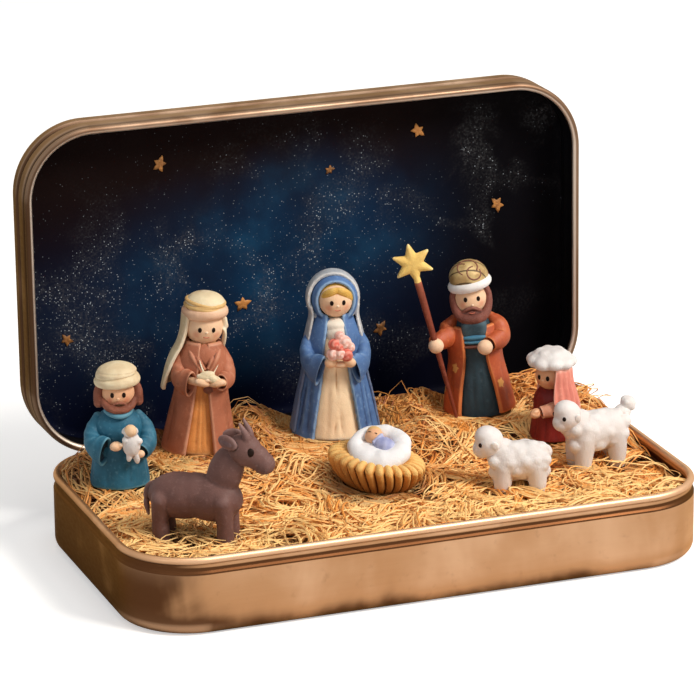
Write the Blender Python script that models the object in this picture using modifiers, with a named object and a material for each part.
"""A pocket nativity tin.

The base of a hinged brass tin holds a bed of straw with nine loose clay figures standing on it.
The lid is lined with a printed night sky and stands open behind them.

Every size is in millimetres and becomes metres where a mesh is made. The origin is the middle
of the base's underside, +X runs along the tin, +Y goes back to the hinge and +Z is up.
"""

import math

import bmesh
import bpy
from mathutils import Euler, Matrix, Vector

MM = 0.001
CLEARANCE = 0.3

# Fineness of the clay pieces
LEAST_TRIANGLES = 70
TRIANGLES_PER_MM2 = 0.75
MOST_TRIANGLES = 460
FINER_LEAST_TRIANGLES = 230
FINER_PIECES = ("manger_basket", "donkey_head", "held_lamb")
BED_TRIANGLES = 840

# Tin
TIN_LENGTH = 95.0
TIN_DEPTH = 54.0
CORNER_RADIUS = 11.5
BASE_HEIGHT = 12.5
LID_HEIGHT = 8.0
SHEET = 0.5
RIM_ROLL = 0.6
BASE_EDGE_ROUND = 1.8
NECK_HEIGHT = 2.2
NECK_SLOPE = 0.3
LID_EDGE_ROUND = 1.1
LID_GROOVE_WIDTH = 1.6
LID_GROOVE_DEPTH = 0.45
LID_GROOVE_FROM_TOP = 2.5
LINER_THICKNESS = 0.4
CORNER_STEPS = 6

# Hinge: tabs of the lid curled round the base's rolled rim
HOOK_WIDTH = 9.0
HOOK_SPACING = 44.0
HOOK_SHEET = 0.35
HOOK_CLEARANCE = 0.15
RIM_GAP = 0.2
HOOK_SWEEP = 268.0
OPEN_ANGLE = 91.0

# Straw
STRAW_INSET = 2.0
STRAW_FRONT = 9.7
STRAW_BACK = 13.0
STRAW_EDGE_DIP = 1.4
STRAW_RISE_FROM = -2.0
STRAW_RISE_TO = 16.0
PRESSED_IN = 0.3
POCKET_CLEARANCE = 0.45

# Places of the figures: x, y, the way each one faces and how far it leans to its own +X, in degrees
SHEPHERD_PLACE = (-38.4, 11.0, -12.0, 0.0)
FATHER_PLACE = (-22.3, 20.0, -16.0, 3.6)
MOTHER_PLACE = (0.9, 19.5, -16.0, 0.0)
WISE_MAN_PLACE = (26.6, 20.2, -20.0, -4.5)
CHILD_PLACE = (34.0, 8.0, -62.0, 0.0)
MANGER_PLACE = (0.4, 0.6, -34.0, 0.0)
DONKEY_PLACE = (-33.0, -11.0, -36.0, 0.0)
LITTLE_SHEEP_PLACE = (21.4, -8.8, 163.0, 0.0)
BIG_SHEEP_PLACE = (37.2, -3.0, 186.0, 0.0)

# Cloth and clay
DEPTH_TO_WIDTH = 0.84
MANTLE_CLOTH = 0.7
COAT_CLOTH = 0.8

# Shepherd with the lamb
SHEPHERD_ROBE = dict(height=12.4, hem=4.75, waist=3.9, chest=4.0, neck=1.8)
SHEPHERD_HEAD = 2.9
SHEPHERD_CAP = dict(width=3.55, height=3.8)
SHEPHERD_SLEEVE = 1.6
LAMB_LENGTH = 6.6

# Father
FATHER_ROBE = dict(height=18.4, hem=4.95, waist=3.2, chest=3.2, neck=1.9)
FATHER_HEAD = 3.1
FATHER_CAP = dict(width=3.7, height=4.2)
FATHER_SLEEVE = 1.55

# Mother
MOTHER_ROBE = dict(height=19.8, hem=6.1, waist=3.9, chest=3.7, neck=1.8)
MOTHER_HEAD = 2.5
MOTHER_HOOD = 3.95
MOTHER_SLEEVE = 1.45

# Wise man
WISE_MAN_ROBE = dict(height=17.2, hem=4.7, waist=3.4, chest=3.5, neck=1.9)
WISE_MAN_HEAD = 2.9
WISE_MAN_BRIM = dict(width=3.65, height=1.9)
WISE_MAN_DOME = dict(width=3.3, height=3.2)
WISE_MAN_SLEEVE = 1.7
STAFF_LENGTH = 24.4
STAFF_LEAN = -10.5
STAFF_RADIUS = 0.55
STAR_RADIUS = 3.5
STAR_THICKNESS = 0.9

# Child
CHILD_ROBE = dict(height=8.6, hem=3.7, waist=3.0, chest=2.9, neck=1.4)
CHILD_HEAD = 2.55
CHILD_CAP_WIDTH = 3.95
CHILD_SLEEVE = 1.15

# Manger
BASKET_HALF_LENGTH = 8.0
BASKET_HALF_WIDTH = 6.0
BASKET_HEIGHT = 4.6
BASKET_RIBS = 17
BLANKET_HALF_LENGTH = 5.0
BABY_HEAD = 1.75

# Animals
DONKEY_LENGTH = 15.4
DONKEY_BACK_HEIGHT = 10.7
DONKEY_GIRTH = 3.7
LITTLE_SHEEP = dict(length=10.1, girth=3.4, leg=1.8, head=2.5, tail=0.0)
BIG_SHEEP = dict(length=11.2, girth=3.6, leg=2.7, head=2.4, tail=1.25)

# Collections, materials and frames


def clear_scene():
    for obj in list(bpy.data.objects):
        bpy.data.objects.remove(obj, do_unlink=True)


def new_collection(name):
    made = bpy.data.collections.new(name)
    bpy.context.scene.collection.children.link(made)
    return made


clear_scene()
PARTS = new_collection("nativity_tin")
CUTTERS = new_collection("cutters")


def new_material(name, colour, roughness, metallic):
    made = bpy.data.materials.new(name)
    made.use_nodes = True
    shader = made.node_tree.nodes["Principled BSDF"]
    shader.inputs["Base Color"].default_value = (*colour, 1.0)
    shader.inputs["Roughness"].default_value = roughness
    shader.inputs["Metallic"].default_value = metallic
    return made


def add_part(name, data, frame, colour, roughness=0.7, metallic=0.0):
    """Links the mesh or curve as one sub-part with its own material, carried by the frame."""
    data.materials.clear()
    data.materials.append(new_material(name, colour, roughness, metallic))
    obj = bpy.data.objects.new(name, data)
    PARTS.objects.link(obj)
    obj.parent = frame
    return obj


def add_frame(name, place, turn=(0.0, 0.0, 0.0)):
    """An empty at a place in millimetres, turned by angles in degrees."""
    frame = bpy.data.objects.new(name, None)
    frame.location = Vector(place) * MM
    frame.rotation_euler = Euler([math.radians(angle) for angle in turn])
    frame.empty_display_size = 5 * MM
    PARTS.objects.link(frame)
    return frame


# Meshes


def to_mesh(name, bm):
    """Closes the mesh's seams, turns its faces out and brings it from millimetres to metres."""
    bmesh.ops.remove_doubles(bm, verts=bm.verts, dist=0.001)
    bmesh.ops.recalc_face_normals(bm, faces=bm.faces)
    bmesh.ops.scale(bm, vec=(MM, MM, MM), verts=bm.verts)
    mesh = bpy.data.meshes.new(name)
    bm.to_mesh(mesh)
    bm.free()
    return shaded(mesh)


def shaded(mesh, sharp_angle=42.0):
    mesh.shade_smooth()
    mesh.set_sharp_from_angle(angle=math.radians(sharp_angle))
    return mesh


def evaluated_mesh(obj):
    bpy.context.view_layer.update()
    graph = bpy.context.evaluated_depsgraph_get()
    return bpy.data.meshes.new_from_object(obj.evaluated_get(graph), depsgraph=graph)


def settle(obj):
    """Makes what the modifiers give the object's own mesh, so that it can be grown into a cutter."""
    mesh = evaluated_mesh(obj)
    obj.modifiers.clear()
    obj.data = mesh
    mesh.name = obj.name
    shaded(mesh)
    return obj


def curve_to_mesh(name, curve):
    """The curve's solid as a mesh, with its caps welded on."""
    holder = bpy.data.objects.new(name, curve)
    bpy.context.scene.collection.objects.link(holder)
    mesh = evaluated_mesh(holder)
    bpy.data.objects.remove(holder)
    bm = bmesh.new()
    bm.from_mesh(mesh)
    bmesh.ops.remove_doubles(bm, verts=bm.verts, dist=1e-6)
    bmesh.ops.recalc_face_normals(bm, faces=bm.faces)
    bm.to_mesh(mesh)
    bm.free()
    return shaded(mesh)


def cutter(name, mesh, frame):
    made = bpy.data.objects.new(name, mesh)
    CUTTERS.objects.link(made)
    made.parent = frame
    made.hide_render = True
    made.display_type = "WIRE"
    return made


def as_cutter(obj):
    """Takes a finished shape out of the parts, to cut or to join another one."""
    PARTS.objects.unlink(obj)
    CUTTERS.objects.link(obj)
    obj.hide_render = True
    obj.display_type = "WIRE"
    return obj


def boolean(target, tool, operation="DIFFERENCE", solver="EXACT"):
    change = target.modifiers.new(tool.name, "BOOLEAN")
    change.operation = operation
    change.object = tool
    change.solver = solver
    return target


def grown(obj, margin=CLEARANCE, label="room"):
    """A cutter of the object's own shape, larger by the margin along its normals."""
    name = f"{label}_for_{obj.name}"
    if name in bpy.data.objects:
        return bpy.data.objects[name]
    bm = bmesh.new()
    bm.from_mesh(obj.data)
    bm.normal_update()
    for vertex in bm.verts:
        vertex.co += vertex.normal * margin * MM
    mesh = bpy.data.meshes.new(name)
    bm.to_mesh(mesh)
    bm.free()
    return cutter(name, mesh, obj.parent)


def carve(target, *others):
    """Cuts room for the other pieces out of the target, with the clearance all round.

    A grown sleeve overlaps itself where it bends, which the exact solver can't cut with.
    """
    for other in others:
        boolean(target, grown(other), solver="MANIFOLD")
    return target


def keep_main_body(obj):
    """Drops the crumbs that a cut leaves apart from the main body."""
    bm = bmesh.new()
    bm.from_mesh(obj.data)
    unseen = set(bm.verts)
    bodies = []
    while unseen:
        reached = [unseen.pop()]
        for vertex in reached:
            near = {edge.other_vert(vertex) for edge in vertex.link_edges} & unseen
            unseen -= near
            reached += near
        bodies.append(set(reached))
    main = max(bodies, key=len)
    crumbs = [vertex for vertex in bm.verts if vertex not in main]
    bmesh.ops.delete(bm, geom=crumbs, context="VERTS")
    bm.to_mesh(obj.data)
    bm.free()


def is_closed(obj):
    bm = bmesh.new()
    bm.from_mesh(evaluated_mesh(obj))
    closed = all(piece.is_manifold for piece in [*bm.edges, *bm.verts])
    bm.free()
    return closed


def lighten(obj, most=MOST_TRIANGLES, least=LEAST_TRIANGLES):
    """Settles a finished clay piece and thins it to a number of triangles that goes with its surface.

    Where thinning would tear a thin edge of the piece, it keeps a few triangles more.
    """
    settle(obj)
    keep_main_body(obj)
    obj.data.calc_loop_triangles()
    surface = sum(triangle.area for triangle in obj.data.loop_triangles) / MM**2
    count = len(obj.data.loop_triangles)
    most = min(least + TRIANGLES_PER_MM2 * surface, most)
    thin = obj.modifiers.new("thin", "DECIMATE")
    thin.ratio = min(most / count, 1.0)
    while thin.ratio < 1.0 and not is_closed(obj):
        thin.ratio = min(thin.ratio * 1.04, 1.0)
    settle(obj)
    keep_main_body(obj)


# Shapes


def path_through(stations, steps=3):
    """Points on a smooth line through the stations, each a place and a radius."""
    rows = [Vector(station) for station in stations]
    ends = [rows[0] * 2 - rows[1]] + rows + [rows[-1] * 2 - rows[-2]]
    made = []
    for before, start, end, after in zip(ends, ends[1:], ends[2:], ends[3:]):
        for step in range(steps):
            t = step / steps
            made.append(
                0.5
                * (
                    2 * start
                    + (end - before) * t
                    + (2 * before - 5 * start + 4 * end - after) * t**2
                    + (3 * start - before - 3 * end + after) * t**3
                )
            )
    return made + [rows[-1]]


def limb(name, stations, frame, colour, resolution=2, **finish):
    """A round limb or sleeve: a tube through the stations, each an x, y, z and radius."""
    curve = bpy.data.curves.new(name, "CURVE")
    curve.dimensions = "3D"
    curve.bevel_depth = MM
    curve.bevel_resolution = resolution
    curve.use_fill_caps = True
    rows = path_through(stations)
    spline = curve.splines.new("POLY")
    spline.points.add(len(rows) - 1)
    for point, row in zip(spline.points, rows):
        point.co = (*(row.xyz * MM), 1.0)
        point.radius = row.w
    return add_part(name, curve_to_mesh(name, curve), frame, colour, **finish)


def turned(name, profile, frame, colour, squash=DEPTH_TO_WIDTH, sides=16, centre=(0, 0, 0), flute=0.0, **finish):
    """A closed turned body: half-widths and heights from the bottom up, flattened front to back.

    With a flute, every second line of points is drawn in by that share, which makes ribs.
    """
    rows = [(0.0, profile[0][1]), *profile, (0.0, profile[-1][1])]
    bm = bmesh.new()
    verts = [bm.verts.new((0.0, -radius, height)) for radius, height in rows]
    edges = [bm.edges.new(pair) for pair in zip(verts, verts[1:])]
    bmesh.ops.spin(bm, geom=verts + edges, axis=(0, 0, 1), angle=math.tau, steps=sides, use_merge=True)
    for vertex in bm.verts:
        column = round(math.atan2(vertex.co.x, -vertex.co.y) / math.tau * sides)
        if column % 2:
            vertex.co.xy *= 1 - flute
    bmesh.ops.scale(bm, vec=(1, squash, 1), verts=bm.verts)
    bmesh.ops.translate(bm, vec=centre, verts=bm.verts)
    return add_part(name, to_mesh(name, bm), frame, colour, **finish)


def wrap(name, profile, frame, colour, thickness, opening, turn=0.0, squash=DEPTH_TO_WIDTH, sides=14, **finish):
    """Cloth wrapped round a body and open at the front.

    The profile gives the cloth's inner half-widths and heights from the bottom up. The opening
    is the angle it leaves open, at the bottom and at the top.
    """
    bottom, top = profile[0][1], profile[-1][1]
    bm = bmesh.new()
    verts = [bm.verts.new((0.0, -radius, height)) for radius, height in profile]
    edges = [bm.edges.new(pair) for pair in zip(verts, verts[1:])]
    bmesh.ops.spin(bm, geom=verts + edges, axis=(0, 0, 1), angle=math.pi, steps=sides)
    for vertex in bm.verts:
        share = (math.atan2(vertex.co.x, -vertex.co.y) % math.tau) / math.pi
        rise = (vertex.co.z - bottom) / (top - bottom)
        gap = math.radians(opening[0] + (opening[1] - opening[0]) * rise)
        angle = gap / 2 + share * (math.tau - gap) + math.radians(turn)
        reach = vertex.co.xy.length
        vertex.co.x = reach * math.sin(angle)
        vertex.co.y = -reach * math.cos(angle)
    bmesh.ops.remove_doubles(bm, verts=bm.verts, dist=0.001)
    bm.normal_update()
    bmesh.ops.recalc_face_normals(bm, faces=bm.faces)
    if sum(face.normal.dot(face.calc_center_median() * Vector((1, 1, 0))) for face in bm.faces) < 0:
        bmesh.ops.reverse_faces(bm, faces=bm.faces)
    bmesh.ops.scale(bm, vec=(MM, MM * squash, MM), verts=bm.verts)
    mesh = bpy.data.meshes.new(name)
    bm.to_mesh(mesh)
    bm.free()
    obj = add_part(name, mesh, frame, colour, **finish)
    cloth = obj.modifiers.new("cloth", "SOLIDIFY")
    cloth.thickness = thickness * MM
    cloth.offset = 1.0
    cloth.use_even_offset = True
    return settle(obj)


def ball(name, centre, radii, frame, colour, segments=14, rings=9, **finish):
    bm = bmesh.new()
    bmesh.ops.create_uvsphere(bm, u_segments=segments, v_segments=rings, radius=1.0)
    bmesh.ops.scale(bm, vec=radii, verts=bm.verts)
    bmesh.ops.translate(bm, vec=centre, verts=bm.verts)
    return add_part(name, to_mesh(name, bm), frame, colour, **finish)


def pressed_clay(name, lumps, frame, colour, grain=0.5, keep=0.35, **finish):
    """Lumps of clay pressed into one smooth body.

    Each lump is a centre, three radii and a tilt about the Y axis in degrees.
    """
    bm = bmesh.new()
    for centre, radii, tilt in lumps:
        made = bmesh.ops.create_uvsphere(bm, u_segments=16, v_segments=10, radius=1.0)["verts"]
        turn = Matrix.Rotation(math.radians(tilt), 4, "Y")
        place = Matrix.Translation(centre) @ turn @ Matrix.Diagonal((*radii, 1.0))
        bmesh.ops.transform(bm, matrix=place, verts=made)
    bmesh.ops.scale(bm, vec=(MM, MM, MM), verts=bm.verts)
    mesh = bpy.data.meshes.new(name)
    bm.to_mesh(mesh)
    bm.free()
    obj = add_part(name, mesh, frame, colour, **finish)
    press = obj.modifiers.new("press", "REMESH")
    press.mode = "VOXEL"
    press.voxel_size = grain * MM
    smooth = obj.modifiers.new("smooth", "SMOOTH")
    smooth.iterations = 4
    thin = obj.modifiers.new("thin", "DECIMATE")
    thin.ratio = keep
    return settle(obj)


def rounded_rectangle(length, depth, radius, inset=0.0):
    """Points round a rectangle with round corners, all drawn in by the inset."""
    round_off = max(radius - inset, 0.5)
    x, y = length / 2 - inset - round_off, depth / 2 - inset - round_off
    points = []
    for quarter, (side_x, side_y) in enumerate(((x, y), (-x, y), (-x, -y), (x, -y))):
        for step in range(CORNER_STEPS):
            angle = math.radians(90 * (quarter + step / (CORNER_STEPS - 1)))
            points.append((side_x + round_off * math.cos(angle), side_y + round_off * math.sin(angle)))
    return points


def arc_steps(radius, steps=3):
    """Inset and height along a quarter round from a flat face to the wall beside it."""
    angles = [math.pi / 2 * step / steps for step in range(steps + 1)]
    return [(radius * (1 - math.sin(angle)), radius * (1 - math.cos(angle))) for angle in angles]


def tin_shell(name, stages, frame, centre_y, colour):
    """A pressed tray: its outer skin from the middle of the flat face to the rim, given a thickness.

    Each stage is an inset from the tin's outline and a height. The skin faces out.
    """
    bm = bmesh.new()
    loops = []
    for inset, height in stages:
        outline = rounded_rectangle(TIN_LENGTH, TIN_DEPTH, CORNER_RADIUS, inset)
        loops.append([bm.verts.new((x, y + centre_y, height)) for x, y in outline])
    bm.faces.new(loops[0])
    for lower, upper in zip(loops, loops[1:]):
        for i, vertex in enumerate(lower):
            j = (i + 1) % len(lower)
            bm.faces.new((vertex, lower[j], upper[j], upper[i]))
    bmesh.ops.recalc_face_normals(bm, faces=bm.faces)
    outward = Vector((0, 0, stages[0][1] - stages[-1][1]))
    bm.normal_update()
    panel = max(bm.faces, key=lambda face: face.calc_area())
    if panel.normal.dot(outward) < 0:
        bmesh.ops.reverse_faces(bm, faces=bm.faces)
    bmesh.ops.scale(bm, vec=(MM, MM, MM), verts=bm.verts)
    mesh = bpy.data.meshes.new(name)
    bm.to_mesh(mesh)
    bm.free()
    obj = add_part(name, mesh, frame, colour, roughness=0.35, metallic=1.0)
    sheet = obj.modifiers.new("sheet", "SOLIDIFY")
    sheet.thickness = SHEET * MM
    sheet.offset = -1.0
    sheet.use_even_offset = True
    return settle(obj)


def rim_bead(name, frame, centre_y, height):
    """The rolled rim, a tube round the tin's outline."""
    curve = bpy.data.curves.new(name, "CURVE")
    curve.dimensions = "3D"
    curve.bevel_depth = RIM_ROLL * MM
    curve.bevel_resolution = 2
    outline = rounded_rectangle(TIN_LENGTH, TIN_DEPTH, CORNER_RADIUS, RIM_ROLL)
    spline = curve.splines.new("POLY")
    spline.points.add(len(outline) - 1)
    spline.use_cyclic_u = True
    for point, (x, y) in zip(spline.points, outline):
        point.co = (x * MM, (y + centre_y) * MM, height * MM, 1.0)
    return cutter(name, curve_to_mesh(name, curve), frame)


def plate(name, length, depth, radius, inset, thickness, frame, colour, **finish):
    """A flat sheet with round corners, its lower face at height zero."""
    curve = bpy.data.curves.new(name, "CURVE")
    curve.dimensions = "2D"
    curve.fill_mode = "BOTH"
    curve.extrude = thickness / 2 * MM
    outline = rounded_rectangle(length, depth, radius, inset)
    spline = curve.splines.new("POLY")
    spline.points.add(len(outline) - 1)
    spline.use_cyclic_u = True
    for point, (x, y) in zip(spline.points, outline):
        point.co = (x * MM, y * MM, 0.0, 1.0)
    mesh = curve_to_mesh(name, curve)
    mesh.transform(Matrix.Translation((0, 0, thickness / 2 * MM)))
    return add_part(name, mesh, frame, colour, **finish)


# The tin

BRASS = (0.55, 0.38, 0.19)
RIM_HEIGHT = BASE_HEIGHT - RIM_ROLL
HINGE_Y = TIN_DEPTH / 2 - RIM_ROLL
NECK_INSET = RIM_ROLL - SHEET / 2


def tin_base():
    wall_top = BASE_HEIGHT - NECK_HEIGHT - NECK_SLOPE
    stages = arc_steps(BASE_EDGE_ROUND)
    stages += [(0.0, wall_top), (NECK_INSET, wall_top + NECK_SLOPE), (NECK_INSET, RIM_HEIGHT)]
    base = tin_shell("tin_base", stages, None, 0.0, BRASS)
    boolean(base, rim_bead("base_rim", None, 0.0, RIM_HEIGHT), "UNION")
    window_height = HOOK_CLEARANCE + HOOK_SHEET + CLEARANCE
    for side in (-1, 1):
        bm = bmesh.new()
        bmesh.ops.create_cube(bm, size=1.0)
        size = (HOOK_WIDTH + 2 * CLEARANCE, 2 * RIM_ROLL, window_height)
        bmesh.ops.scale(bm, vec=size, verts=bm.verts)
        window = cutter(f"hinge_window_{'left' if side < 0 else 'right'}", to_mesh("window", bm), None)
        drop = RIM_ROLL + window_height / 2 - 0.05
        window.location = Vector((side * HOOK_SPACING / 2, HINGE_Y, RIM_HEIGHT - drop)) * MM
        boolean(base, window, solver="MANIFOLD")
    return base


def hinge_hook(side, frame):
    """A tab of the lid's sheet curled round the base's rim: a strip turned about the hinge axis."""
    inner = RIM_ROLL + HOOK_CLEARANCE
    outer = inner + HOOK_SHEET
    bm = bmesh.new()
    corners = ((-1, inner), (1, inner), (1, outer), (-1, outer))
    middle = side * HOOK_SPACING / 2
    strip = bm.faces.new([bm.verts.new((middle + end * HOOK_WIDTH / 2, 0.0, height)) for end, height in corners])
    bmesh.ops.rotate(bm, matrix=Matrix.Rotation(math.radians(4), 3, "X"), verts=bm.verts)
    geom = [strip, *strip.edges, *strip.verts]
    bmesh.ops.spin(bm, geom=geom, axis=(1, 0, 0), angle=-math.radians(HOOK_SWEEP), steps=12)
    name = f"hinge_hook_{'left' if side < 0 else 'right'}"
    return cutter(name, to_mesh(name, bm), frame)


def tin_lid(frame):
    """The lid in its own closed pose: the frame is on the hinge axis, and the lid lies forward of it."""
    middle = -HINGE_Y
    rim = 2 * RIM_ROLL + RIM_GAP
    top = rim - RIM_ROLL + LID_HEIGHT
    groove_top = top - LID_GROOVE_FROM_TOP
    groove_bottom = groove_top - LID_GROOVE_WIDTH
    slope = LID_GROOVE_DEPTH * 0.6
    stages = [(inset, top - drop) for inset, drop in arc_steps(LID_EDGE_ROUND)]
    stages += [
        (0.0, groove_top),
        (LID_GROOVE_DEPTH, groove_top - slope),
        (LID_GROOVE_DEPTH, groove_bottom + slope),
        (0.0, groove_bottom),
        (0.0, rim + RIM_ROLL + SHEET),
        (NECK_INSET, rim + RIM_ROLL),
        (NECK_INSET, rim),
    ]
    lid = tin_shell("tin_lid", stages, frame, middle, BRASS)
    boolean(lid, rim_bead("lid_rim", frame, middle, rim), "UNION")
    for side in (-1, 1):
        boolean(lid, hinge_hook(side, frame), "UNION", solver="MANIFOLD")
    liner_inset = SHEET + LID_GROOVE_DEPTH + CLEARANCE + LID_EDGE_ROUND / 2
    liner = plate(
        "sky_liner", TIN_LENGTH, TIN_DEPTH, CORNER_RADIUS, liner_inset, LINER_THICKNESS, frame, (0.02, 0.05, 0.13)
    )
    liner.location = Vector((0.0, middle, top - SHEET - CLEARANCE - LINER_THICKNESS)) * MM
    return lid, liner


# Straw


def straw_height(x, y):
    """The straw's top: low and level at the front, rising to a level heap at the back."""
    rise = min(max((y - STRAW_RISE_FROM) / (STRAW_RISE_TO - STRAW_RISE_FROM), 0.0), 1.0)
    return STRAW_FRONT + (STRAW_BACK - STRAW_FRONT) * rise**2 * (3 - 2 * rise)


def straw_bed():
    """A pad that fills the base, its top following the straw's height and dipping at its edge."""
    bm = bmesh.new()
    loops = []
    floor = SHEET + CLEARANCE
    outline = rounded_rectangle(TIN_LENGTH, TIN_DEPTH, CORNER_RADIUS, STRAW_INSET)
    loops.append([bm.verts.new((x, y, floor)) for x, y in outline])
    for inset, dip in ((0.0, STRAW_EDGE_DIP), (1.6, 0.3), (5.0, 0.0), (10.0, 0.0), (16.0, 0.0), (21.0, 0.0)):
        outline = rounded_rectangle(TIN_LENGTH, TIN_DEPTH, CORNER_RADIUS, STRAW_INSET + inset)
        loops.append([bm.verts.new((x, y, straw_height(x, y) - dip)) for x, y in outline])
    bm.faces.new(loops[0])
    bm.faces.new(loops[-1])
    for lower, upper in zip(loops, loops[1:]):
        for i, vertex in enumerate(lower):
            j = (i + 1) % len(lower)
            bm.faces.new((vertex, lower[j], upper[j], upper[i]))
    bmesh.ops.triangulate(bm, faces=[face for face in bm.faces if len(face.verts) > 4])
    return add_part("straw_bed", to_mesh("straw_bed", bm), None, (0.75, 0.48, 0.15), roughness=0.8)


# Robed figures: each stands at its frame's origin and faces along its -Y

CREAM = (0.78, 0.68, 0.50)
SKIN = (0.80, 0.52, 0.36)
WOOL = (0.85, 0.84, 0.83)


def standing_place(name, place):
    """The frame of a figure, pressed a little into the straw."""
    x, y, turn, lean = place
    return add_frame(f"{name}_stand", (x, y, straw_height(x, y) - PRESSED_IN), (0.0, lean, turn))


def robe_profile(height, hem, waist, chest, neck):
    """Half-widths up a robe: a flared skirt, a waist, a fuller chest and shoulders sloping to the neck."""
    return [
        (hem * 0.96, 0.0),
        (hem, 0.03 * height),
        (waist + (hem - waist) * 0.5, 0.3 * height),
        (waist, 0.56 * height),
        (chest, 0.76 * height),
        (chest * 0.86, 0.89 * height),
        (neck, height),
    ]


def outset(profile, gap, above=0.0, below=None):
    """The profile moved out by the gap, kept between two heights."""
    top = profile[-1][1] if below is None else below
    return [(radius + gap, height) for radius, height in profile if above <= height <= top]


def dome(width, low, high, steps=4):
    """Half-widths up a dome that starts upright and closes in to its top."""
    angles = [math.pi / 2 * step / steps for step in range(steps)]
    return [(width * math.cos(angle), low + (high - low) * math.sin(angle)) for angle in angles] + [
        (0.12 * width, high)
    ]


def roll(width, low, high):
    """Half-widths up a round brim, as wide as given at its middle."""
    half = (high - low) / 2
    return [
        (width - half, low),
        (width - 0.3 * half, low + 0.3 * half),
        (width, low + half),
        (width - 0.3 * half, high - 0.3 * half),
        (width - half, high),
    ]


def hair_and_beard(name, head_height, head, face_low, face_high, frame, colour):
    """Hair and beard in one round mass, with an opening for the face."""
    mass_size = (head + 0.85, head + 0.5, head + 0.7)
    mass = ball(name, (0, 0.1, head_height - 0.5), mass_size, frame, colour)
    face_size = (0.8 * head, 0.9 * head, (face_high - face_low) / 2)
    face = ball(f"{name}_opening", (0, -head, (face_low + face_high) / 2), face_size, frame, colour)
    return boolean(mass, as_cutter(face))


def shepherd():
    frame = standing_place("shepherd", SHEPHERD_PLACE)
    teal = (0.03, 0.22, 0.30)
    tall, hem, chest = SHEPHERD_ROBE["height"], SHEPHERD_ROBE["hem"], SHEPHERD_ROBE["chest"]
    front = chest * DEPTH_TO_WIDTH
    head_height = tall + 0.9 * SHEPHERD_HEAD
    cap_low = head_height + 0.5 * SHEPHERD_HEAD
    robe = turned("shepherd_robe", robe_profile(**SHEPHERD_ROBE), frame, teal)
    head_size = (SHEPHERD_HEAD, 0.92 * SHEPHERD_HEAD, 0.95 * SHEPHERD_HEAD)
    head = ball("shepherd_head", (0, 0, head_height), head_size, frame, SKIN)
    face_low = head_height - 0.6 * SHEPHERD_HEAD
    hair_colour = (0.30, 0.10, 0.05)
    hair = hair_and_beard("shepherd_hair", head_height, SHEPHERD_HEAD, face_low, cap_low + 1.0, frame, hair_colour)
    cap_profile = roll(SHEPHERD_CAP["width"], cap_low, cap_low + 1.9)[:4]
    cap_profile += dome(SHEPHERD_CAP["width"] * 0.88, cap_low + 1.9, cap_low + SHEPHERD_CAP["height"])
    cap = turned("shepherd_cap", cap_profile, frame, CREAM, squash=0.92)
    lamb_low = 0.42 * tall
    lamb_front = front + 1.6
    lamb = pressed_clay(
        "held_lamb",
        [
            ((1.5, -lamb_front, lamb_low + 0.42 * LAMB_LENGTH), (1.5, 1.2, 0.36 * LAMB_LENGTH), 0),
            ((1.2, -lamb_front - 0.2, lamb_low + 0.86 * LAMB_LENGTH), (1.25, 1.2, 1.1), 0),
            ((2.3, -lamb_front, lamb_low + 0.10 * LAMB_LENGTH), (0.6, 0.6, 1.4), 0),
            ((1.1, -lamb_front, lamb_low + 0.14 * LAMB_LENGTH), (0.6, 0.6, 1.1), 0),
            ((2.6, -lamb_front, lamb_low + 0.52 * LAMB_LENGTH), (0.7, 0.7, 1.0), 0),
        ],
        frame,
        WOOL,
        grain=0.4,
    )
    hand_size = (0.95, 0.85, 0.85)
    hand = ball("shepherd_hand", (-0.9, -lamb_front + 0.1, 0.62 * tall), hand_size, frame, SKIN, segments=10, rings=6)
    carve(hand, lamb)
    for side, label in ((-1, "left"), (1, "right")):
        stations = [
            (side * (chest - 0.7), 0.0, 0.84 * tall, 0.9),
            (side * (chest + 0.1), -0.6, 0.68 * tall, 0.85 * SHEPHERD_SLEEVE),
            (side * (chest - 0.1), -2.0, 0.54 * tall, SHEPHERD_SLEEVE),
            (side * (chest - 1.5), -front - 0.6, 0.54 * tall, SHEPHERD_SLEEVE * 1.02),
        ]
        sleeve = limb(f"shepherd_{label}_sleeve", stations, frame, teal)
        carve(sleeve, hand, lamb, hair)
        carve(robe, sleeve)
    carve(hair, head, cap)
    carve(head, cap)
    carve(robe, hair, head, lamb)


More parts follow.
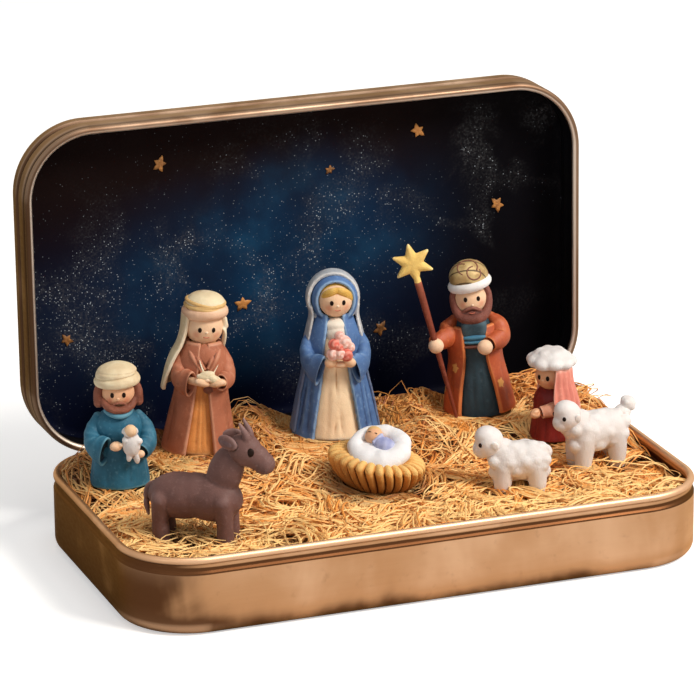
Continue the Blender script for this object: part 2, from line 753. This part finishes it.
def father():
    frame = standing_place("father", FATHER_PLACE)
    rose = (0.46, 0.20, 0.13)
    tall, chest = FATHER_ROBE["height"], FATHER_ROBE["chest"]
    body = robe_profile(**FATHER_ROBE)
    front = (chest + CLEARANCE + COAT_CLOTH) * DEPTH_TO_WIDTH
    head_height = tall + 0.75 * FATHER_HEAD
    cap_low = head_height + 0.55 * FATHER_HEAD
    tunic = turned("father_tunic", body, frame, (0.58, 0.30, 0.13))
    coat = wrap("father_coat", outset(body, CLEARANCE), frame, rose, COAT_CLOTH, (50, 22), sides=15)
    head_size = (FATHER_HEAD, 0.92 * FATHER_HEAD, FATHER_HEAD)
    head = ball("father_head", (0, 0, head_height), head_size, frame, SKIN)
    cap_profile = roll(FATHER_CAP["width"], cap_low, cap_low + 1.9)[:4]
    cap_profile += dome(FATHER_CAP["width"] * 0.92, cap_low + 1.9, cap_low + FATHER_CAP["height"])
    cap = turned("father_cap", cap_profile, frame, CREAM, squash=0.92)
    cloth_profile = [
        (chest + COAT_CLOTH + 1.9, 0.60 * tall),
        (chest + COAT_CLOTH + 0.8, 0.78 * tall),
        (FATHER_HEAD + 0.75, tall + 0.1),
        (FATHER_HEAD + 0.15, head_height),
        (FATHER_HEAD + 0.1, cap_low + 0.5),
    ]
    headcloth = wrap("father_headcloth", outset(cloth_profile, CLEARANCE), frame, CREAM, 0.6, (228, 212), turn=52)
    hands = pressed_clay(
        "father_hands",
        [
            ((0.0, -front - 1.2, 0.69 * tall), (1.3, 0.9, 0.8), 12),
            ((2.0, -front - 1.2, 0.69 * tall), (1.3, 0.9, 0.8), -12),
            ((1.0, -front - 0.9, 0.73 * tall), (1.8, 0.7, 1.0), 0),
        ],
        frame,
        SKIN,
        grain=0.35,
    )
    for side, label in ((-1, "left"), (1, "right")):
        stations = [
            (side * (chest - 0.4), 0.0, 0.88 * tall, 0.9),
            (side * (chest + 0.35), -0.8, 0.77 * tall, 0.9 * FATHER_SLEEVE),
            (side * chest, -2.3, 0.66 * tall, 1.1 * FATHER_SLEEVE),
            (side * (chest - 1.3) + 0.8, -front - 0.6, 0.68 * tall, 0.9 * FATHER_SLEEVE),
        ]
        sleeve = limb(f"father_{label}_sleeve", stations, frame, rose)
        carve(sleeve, hands, head)
        carve(coat, sleeve)
        carve(tunic, sleeve)
        carve(headcloth, sleeve)
    carve(tunic, hands, head)
    carve(coat, hands, head)
    carve(headcloth, cap, coat)
    carve(head, cap)


def mother():
    frame = standing_place("mother", MOTHER_PLACE)
    blue = (0.05, 0.12, 0.33)
    tall, chest = MOTHER_ROBE["height"], MOTHER_ROBE["chest"]
    body = robe_profile(**MOTHER_ROBE)
    front = (chest + CLEARANCE) * DEPTH_TO_WIDTH
    head_height = tall + 1.2 * MOTHER_HEAD
    gown = turned("mother_gown", body, frame, (0.74, 0.58, 0.40))
    head = ball("mother_head", (0.2, -0.5, head_height), (MOTHER_HEAD, 0.92 * MOTHER_HEAD, 1.04 * MOTHER_HEAD), frame, SKIN)
    hair_size = (MOTHER_HEAD + 0.65, 0.92 * MOTHER_HEAD + 0.75, 1.04 * MOTHER_HEAD + 0.7)
    hair = ball("mother_hair", (0.2, -0.3, head_height + 0.1), hair_size, frame, (0.60, 0.33, 0.08))
    hairline_size = (1.2 * MOTHER_HEAD, 1.1 * MOTHER_HEAD, 1.7 * MOTHER_HEAD)
    hairline_place = (0.2, -1.25 * MOTHER_HEAD, head_height - 1.05 * MOTHER_HEAD)
    boolean(hair, as_cutter(ball("mother_hairline", hairline_place, hairline_size, frame, SKIN)))
    mantle = wrap("mother_mantle", outset(body, CLEARANCE), frame, blue, MANTLE_CLOTH, (72, 30))
    hood_size = (MOTHER_HOOD, 0.92 * MOTHER_HOOD, 1.08 * MOTHER_HOOD)
    hood = as_cutter(ball("mother_hood", (0.1, 0.1, head_height), hood_size, frame, blue, segments=16, rings=10))
    boolean(mantle, hood, "UNION", solver="MANIFOLD")
    face_size = (1.12 * MOTHER_HEAD, 1.15 * MOTHER_HEAD, 1.2 * MOTHER_HEAD)
    face_opening = ball("mother_face_opening", (0.0, -MOTHER_HOOD, head_height), face_size, frame, blue)
    as_cutter(face_opening)
    boolean(mantle, face_opening, solver="MANIFOLD")
    shoulders = outset(body, MANTLE_CLOTH + 2 * CLEARANCE, above=0.05 * tall, below=0.9 * tall)
    veil_hood = MOTHER_HOOD + CLEARANCE
    crown = head_height + 1.08 * MOTHER_HOOD + CLEARANCE
    veil_profile = shoulders + [(0.93 * veil_hood, tall + 0.1 * MOTHER_HEAD), (1.02 * veil_hood, head_height)]
    veil_profile += [
        (veil_hood * math.cos(angle), head_height + (crown - head_height) * math.sin(angle)) for angle in (0.5, 0.95, 1.3)
    ]
    veil_profile += [(0.0, crown)]
    veil = wrap("mother_veil", veil_profile, frame, (0.50, 0.50, 0.52), 0.45, (190, 130), sides=12)
    roses = pressed_clay(
        "rose_bunch",
        [
            ((-0.5, -front - 2.1, 0.76 * tall), (1.1, 0.95, 1.1), 0),
            ((1.5, -front - 2.2, 0.75 * tall), (1.15, 0.95, 1.1), 0),
            ((0.6, -front - 2.5, 0.79 * tall), (1.05, 0.9, 1.05), 0),
            ((-0.1, -front - 2.1, 0.86 * tall), (1.0, 0.9, 1.0), 0),
            ((1.4, -front - 2.0, 0.87 * tall), (1.05, 0.9, 1.0), 0),
            ((0.6, -front - 2.0, 0.93 * tall), (0.85, 0.8, 0.8), 0),
        ],
        frame,
        (0.66, 0.16, 0.14),
        grain=0.35,
    )
    hands = pressed_clay(
        "mother_hands",
        [
            ((-0.9, -front - 1.9, 0.68 * tall), (1.1, 0.8, 0.75), -20),
            ((2.0, -front - 1.9, 0.68 * tall), (1.1, 0.8, 0.75), 20),
            ((0.6, -front - 1.9, 0.66 * tall), (1.4, 0.7, 0.6), 0),
        ],
        frame,
        SKIN,
        grain=0.35,
    )
    carve(hands, roses)
    for side, label in ((-1, "left"), (1, "right")):
        stations = [
            (side * (chest + 0.2), -0.4, 0.86 * tall, 1.0),
            (side * (chest + 1.0), -1.6, 0.74 * tall, 0.95 * MOTHER_SLEEVE),
            (side * (chest + 0.5), -3.0, 0.64 * tall, 1.15 * MOTHER_SLEEVE),
            (side * (chest - 1.1) + 0.4, -front - 1.5, 0.64 * tall, 1.0 * MOTHER_SLEEVE),
        ]
        sleeve = limb(f"mother_{label}_sleeve", stations, frame, blue)
        carve(sleeve, hands, roses)
        carve(gown, sleeve)
        carve(mantle, sleeve)
        carve(veil, sleeve)
    carve(gown, roses, hands, head, hair)
    carve(hair, head)
    carve(mantle, gown, hair, head, roses)
    carve(veil, hood)


def wise_man():
    frame = standing_place("wise_man", WISE_MAN_PLACE)
    rust = (0.44, 0.14, 0.05)
    tall, chest = WISE_MAN_ROBE["height"], WISE_MAN_ROBE["chest"]
    body = robe_profile(**WISE_MAN_ROBE)
    front = (chest + CLEARANCE + COAT_CLOTH) * DEPTH_TO_WIDTH
    head_height = tall + 0.78 * WISE_MAN_HEAD
    brim_low = head_height + 0.62 * WISE_MAN_HEAD
    gown = turned("wise_man_gown", body, frame, (0.04, 0.12, 0.15))
    coat_profile = [(max(radius, WISE_MAN_ROBE["waist"]), height) for radius, height in outset(body, CLEARANCE)[1:-1]]
    coat = wrap("wise_man_coat", coat_profile, frame, rust, COAT_CLOTH, (64, 40))
    head_size = (WISE_MAN_HEAD, 0.92 * WISE_MAN_HEAD, WISE_MAN_HEAD)
    head = ball("wise_man_head", (0, 0, head_height), head_size, frame, SKIN)
    face_low = head_height - 0.35 * WISE_MAN_HEAD
    beard_colour = (0.22, 0.09, 0.09)
    beard = hair_and_beard("wise_man_beard", head_height, WISE_MAN_HEAD, face_low, brim_low + 0.9, frame, beard_colour)
    brim_profile = roll(WISE_MAN_BRIM["width"], brim_low, brim_low + WISE_MAN_BRIM["height"])
    brim = turned("wise_man_brim", brim_profile, frame, WOOL, squash=0.94)
    dome_low = brim_low + WISE_MAN_BRIM["height"] + CLEARANCE
    dome_profile = dome(WISE_MAN_DOME["width"], dome_low, dome_low + WISE_MAN_DOME["height"])
    turned("wise_man_dome", dome_profile, frame, (0.50, 0.36, 0.15), squash=0.94)
    staff_foot = Vector((-3.9, -front - 0.6, 0.4))
    lean = Vector((math.tan(math.radians(STAFF_LEAN)), -0.01, 1.0)).normalized()
    grip = 0.54
    staff_top = staff_foot + lean * STAFF_LENGTH
    stations = [
        (*staff_foot, 0.55 * STAFF_RADIUS),
        (*(staff_foot + lean * STAFF_LENGTH * 0.5), 0.85 * STAFF_RADIUS),
        (*staff_top, STAFF_RADIUS),
    ]
    staff = limb("wise_man_staff", stations, frame, (0.25, 0.07, 0.03))
    star(staff_top + lean * (0.86 * STAR_RADIUS + CLEARANCE), frame)
    grip_place = staff_foot + lean * STAFF_LENGTH * grip
    hands = (("left", grip_place, -1), ("right", Vector((1.6, -front - 1.2, 0.73 * tall)), 1))
    for label, place, side in hands:
        hand = ball(
            f"wise_man_{label}_hand", place, (1.25, 1.15, 1.25), frame, (0.85, 0.62, 0.47), segments=12, rings=8
        )
        cuff = place + Vector((0.9, 1.0, 0.1))
        elbow = Vector((side * (chest + 0.5), -1.6, cuff.z + 0.1))
        stations = [
            (side * (chest - 0.3), 0.0, 0.90 * tall, 1.0),
            (side * (chest + 0.4), -0.6, 0.84 * tall, 0.95 * WISE_MAN_SLEEVE),
            (*elbow, WISE_MAN_SLEEVE),
            (*cuff, 0.8 * WISE_MAN_SLEEVE),
        ]
        sleeve = limb(f"wise_man_{label}_sleeve", stations, frame, rust)
        if side < 0:
            carve(hand, staff)
            carve(sleeve, staff)
        carve(sleeve, hand, beard)
        carve(coat, sleeve)
        carve(gown, sleeve, hand)
        carve(coat, hand)
    carve(beard, head, brim)
    carve(head, brim)
    carve(gown, beard)
    carve(coat, beard)


def star(centre, frame):
    """A flat star of six points, standing upright and facing forward."""
    curve = bpy.data.curves.new("staff_star", "CURVE")
    curve.dimensions = "2D"
    curve.fill_mode = "BOTH"
    curve.extrude = STAR_THICKNESS / 2 * MM
    spline = curve.splines.new("POLY")
    spline.points.add(11)
    spline.use_cyclic_u = True
    for i, point in enumerate(spline.points):
        reach = STAR_RADIUS if i % 2 == 0 else 0.5 * STAR_RADIUS
        angle = math.tau * i / 12 + math.radians(14)
        point.co = (reach * math.sin(angle) * MM, reach * math.cos(angle) * MM, 0.0, 1.0)
    mesh = curve_to_mesh("staff_star", curve)
    mesh.transform(Matrix.Translation(centre * MM) @ Matrix.Rotation(math.pi / 2, 4, "X"))
    obj = add_part("staff_star", mesh, frame, (0.80, 0.55, 0.16), roughness=0.5)
    edge = obj.modifiers.new("edge", "BEVEL")
    edge.width = 0.2 * MM
    edge.segments = 1
    return settle(obj)


def child():
    frame = standing_place("child", CHILD_PLACE)
    tall, chest = CHILD_ROBE["height"], CHILD_ROBE["chest"]
    head_height = tall + 0.75 * CHILD_HEAD
    cap_low = head_height + 0.35 * CHILD_HEAD
    robe = turned("child_robe", robe_profile(**CHILD_ROBE), frame, (0.22, 0.03, 0.03), squash=0.9)
    head_size = (CHILD_HEAD, CHILD_HEAD, 0.95 * CHILD_HEAD)
    head = ball("child_head", (0, 0, head_height), head_size, frame, SKIN)
    cloth_profile = [
        (chest + 0.15, 0.74 * tall),
        (chest - 0.3, 0.95 * tall),
        (CHILD_HEAD, head_height - 0.3 * CHILD_HEAD),
        (CHILD_HEAD, cap_low + 0.3),
    ]
    headcloth = wrap("child_headcloth", outset(cloth_profile, CLEARANCE), frame, (0.50, 0.13, 0.12), 0.6, (150, 150), squash=1.0)
    knots = [((0, 0, cap_low + 2.3), (0.72 * CHILD_CAP_WIDTH, 0.72 * CHILD_CAP_WIDTH, 1.7), 0)]
    for i in range(8):
        angle = math.tau * i / 8
        place = (0.68 * CHILD_CAP_WIDTH * math.cos(angle), 0.68 * CHILD_CAP_WIDTH * math.sin(angle), cap_low + 1.6)
        knots.append((place, (1.35, 1.35, 1.2), 0))
    cap = pressed_clay("child_cap", knots, frame, WOOL, grain=0.5, keep=0.4)
    stations = [
        (chest - 0.6, 0.2, 0.80 * tall, 0.8),
        (chest - 0.1, -1.2, 0.66 * tall, CHILD_SLEEVE),
        (chest - 1.6, -3.2, 0.62 * tall, 1.1 * CHILD_SLEEVE),
    ]
    sleeve = limb("child_sleeve", stations, frame, (0.62, 0.36, 0.20))
    hand = ball("child_hand", (0.5, -4.6, 0.60 * tall), (0.8, 1.1, 0.8), frame, SKIN, segments=10, rings=6)
    carve(sleeve, hand)
    carve(robe, sleeve, head, hand)
    carve(head, cap)
    carve(headcloth, cap, sleeve)
    carve(robe, headcloth)


def manger():
    frame = standing_place("manger", MANGER_PLACE)
    squash = BASKET_HALF_WIDTH / BASKET_HALF_LENGTH
    long = BASKET_HALF_LENGTH
    basket_profile = [
        (0.50 * long, 0.0),
        (0.66 * long, 0.12 * BASKET_HEIGHT),
        (0.86 * long, 0.45 * BASKET_HEIGHT),
        (0.97 * long, 0.8 * BASKET_HEIGHT),
        (long, BASKET_HEIGHT),
        (0.90 * long, BASKET_HEIGHT + 0.5),
        (0.60 * long, BASKET_HEIGHT),
    ]
    straw_gold = (0.62, 0.36, 0.10)
    sides = 2 * BASKET_RIBS
    basket = turned("manger_basket", basket_profile, frame, straw_gold, squash=squash, sides=sides, flute=0.10)
    bed = BASKET_HEIGHT + 1.3
    long_bed = BLANKET_HALF_LENGTH
    folds = [((0, 0, bed), (0.86 * long_bed, 0.76 * long_bed, 1.9), 0)]
    for i in range(9):
        angle = math.tau * i / 9
        back = 0.62 * long_bed * math.sin(angle)
        place = (0.72 * long_bed * math.cos(angle), back, bed + 0.9 + 0.42 * back)
        folds.append((place, (1.55, 1.5, 1.35), 0))
    blanket = pressed_clay("manger_blanket", folds, frame, WOOL, grain=0.55, keep=0.35)
    head = ball("baby_head", (-1.3, 0.5, bed + 2.3), (1.05 * BABY_HEAD, 0.95 * BABY_HEAD, 0.9 * BABY_HEAD), frame, SKIN)
    swaddle = ball("baby_swaddle", (1.2, -0.2, bed + 1.9), (2.3, 1.5, 1.15), frame, (0.36, 0.38, 0.62), 16, 8)
    carve(swaddle, head)
    carve(blanket, head, swaddle)
    carve(basket, blanket)


# Animals: each faces along its frame's +X


def legs(spread, width, radius, height, top):
    """Four legs as lumps, from the straw up into the body."""
    return [
        ((x * spread, y * width, height / 2 + top / 4), (radius, radius, height / 2 + top / 4 + 0.3), 0)
        for x in (-1, 1)
        for y in (-1, 1)
    ]


def flat_feet(obj, reach):
    """Cuts the animal level at its frame's origin, so that its feet stand flat."""
    bm = bmesh.new()
    bmesh.ops.create_cube(bm, size=2.0 * reach)
    bmesh.ops.translate(bm, vec=(0, 0, -reach), verts=bm.verts)
    return boolean(obj, cutter(f"ground_under_{obj.name}", to_mesh("ground", bm), obj.parent))


def donkey():
    frame = standing_place("donkey", DONKEY_PLACE)
    mauve = (0.20, 0.13, 0.14)
    half, back, barrel = DONKEY_LENGTH / 2, DONKEY_BACK_HEIGHT, DONKEY_GIRTH
    lumps = [
        ((-0.32 * half, 0, back - barrel), (0.68 * half, 0.88 * barrel, barrel), 0),
        ((0.30 * half, 0, back - barrel), (0.66 * half, 0.86 * barrel, barrel), 0),
        ((0.62 * half, 0, back + 0.8), (2.4, 1.9, 4.4), 18),
        ((-half - 0.1, 0, 0.55 * back), (0.6, 0.7, 0.30 * back), 0),
    ]
    lumps += legs(0.64 * half, 1.5, 1.6, 0.40 * back, 0.5 * back)
    body = pressed_clay("donkey_body", lumps, frame, mauve, grain=0.5, keep=0.32)
    flat_feet(body, DONKEY_LENGTH)
    head_place = Vector((half + 0.9, 0, back + 4.2))
    head = pressed_clay(
        "donkey_head",
        [
            (head_place + Vector((-0.7, 0, 0.4)), (2.6, 2.1, 2.2), 25),
            (head_place + Vector((1.8, 0, -1.2)), (2.2, 1.6, 1.6), 30),
        ],
        frame,
        mauve,
        grain=0.45,
    )
    crown = head_place + Vector((-1.5, 0, 2.2))
    for side, label in ((-1, "near"), (1, "far")):
        ear_centre = crown + Vector((-1.4, side * 1.7, -0.4 + 0.5 * side))
        ear = ball(f"donkey_{label}_ear", ear_centre, (2.1, 0.8, 1.1), frame, mauve, segments=10, rings=7)
        base = crown + Vector((1.3, side * 0.6, -1.0))
        tip = crown + Vector((0.3, side * 1.2, 2.1))
        middle = (base + tip) / 2 + Vector((0.3, 0, 0))
        horn_stations = [(*base, 0.75), (*middle, 0.6), (*tip, 0.22)]
        horn = limb(f"donkey_{label}_horn", horn_stations, frame, mauve, resolution=1)
        boolean(head, as_cutter(ear), "UNION")
        boolean(head, as_cutter(horn), "UNION")
    carve(body, head)


def sheep(name, place, length, girth, leg, head, tail):
    frame = standing_place(name, place)
    half, middle = length / 2, leg + girth
    lumps = [((0, 0, middle), (0.90 * half, 0.85 * girth, 0.85 * girth), 0)]
    for x, z in ((-0.66, 0.32), (-0.18, 0.45), (0.32, 0.40), (-0.72, -0.25), (-0.22, -0.38), (0.30, -0.36)):
        for y in (-0.42, 0.42):
            lumps.append(((x * half, y * girth, middle + z * girth), (0.55 * girth, 0.50 * girth, 0.54 * girth), 0))
    lumps += legs(0.52 * half, 0.36 * girth, 0.36 * girth, 0.9 * leg + 1.0, leg + 1.0)
    head_place = Vector((half - 0.3, 0, middle + 0.86 * girth))
    lumps.append((head_place - Vector((1.4, 0, 1.6)), (0.5 * girth, 0.5 * girth, 0.6 * girth), 20))
    body = pressed_clay(f"{name}_body", lumps, frame, WOOL, grain=0.55, keep=0.22)
    flat_feet(body, length)
    wool = [
        (head_place, (0.92 * head, 0.95 * head, head), 0),
        (head_place + Vector((0.45, 0, -0.42)) * head, (0.62 * head, 0.62 * head, 0.62 * head), 0),
    ]
    face = pressed_clay(f"{name}_head", wool, frame, WOOL, grain=0.5, keep=0.4)
    carve(body, face)
    if tail:
        puff = ball(f"{name}_tail", (-half - 0.2, 0, middle + 0.95 * girth), (tail, tail, tail), frame, WOOL, 10, 7)
        carve(body, puff)


def build():
    tin_base()
    hinge = add_frame("lid_hinge", (0.0, HINGE_Y, RIM_HEIGHT), (-OPEN_ANGLE, 0.0, 0.0))
    tin_lid(hinge)
    bed = straw_bed()
    shepherd()
    father()
    mother()
    wise_man()
    child()
    manger()
    donkey()
    sheep("little_sheep", LITTLE_SHEEP_PLACE, **LITTLE_SHEEP)
    sheep("big_sheep", BIG_SHEEP_PLACE, **BIG_SHEEP)
    standing = [obj for obj in PARTS.objects if obj.name.endswith(("_robe", "_tunic", "_coat", "_gown", "_mantle"))]
    standing += [obj for obj in PARTS.objects if obj.name in ("manger_basket", "donkey_body")]
    standing += [obj for obj in PARTS.objects if obj.name in ("little_sheep_body", "big_sheep_body", "wise_man_staff")]
    for obj in standing:
        boolean(bed, grown(obj, POCKET_CLEARANCE, "pocket"), solver="MANIFOLD")
    lighten(bed, BED_TRIANGLES)
    for obj in PARTS.objects:
        if obj.name in FINER_PIECES:
            lighten(obj, least=FINER_LEAST_TRIANGLES)
        elif obj.type == "MESH" and obj.name not in ("tin_base", "tin_lid", "sky_liner", "straw_bed"):
            lighten(obj)


build()
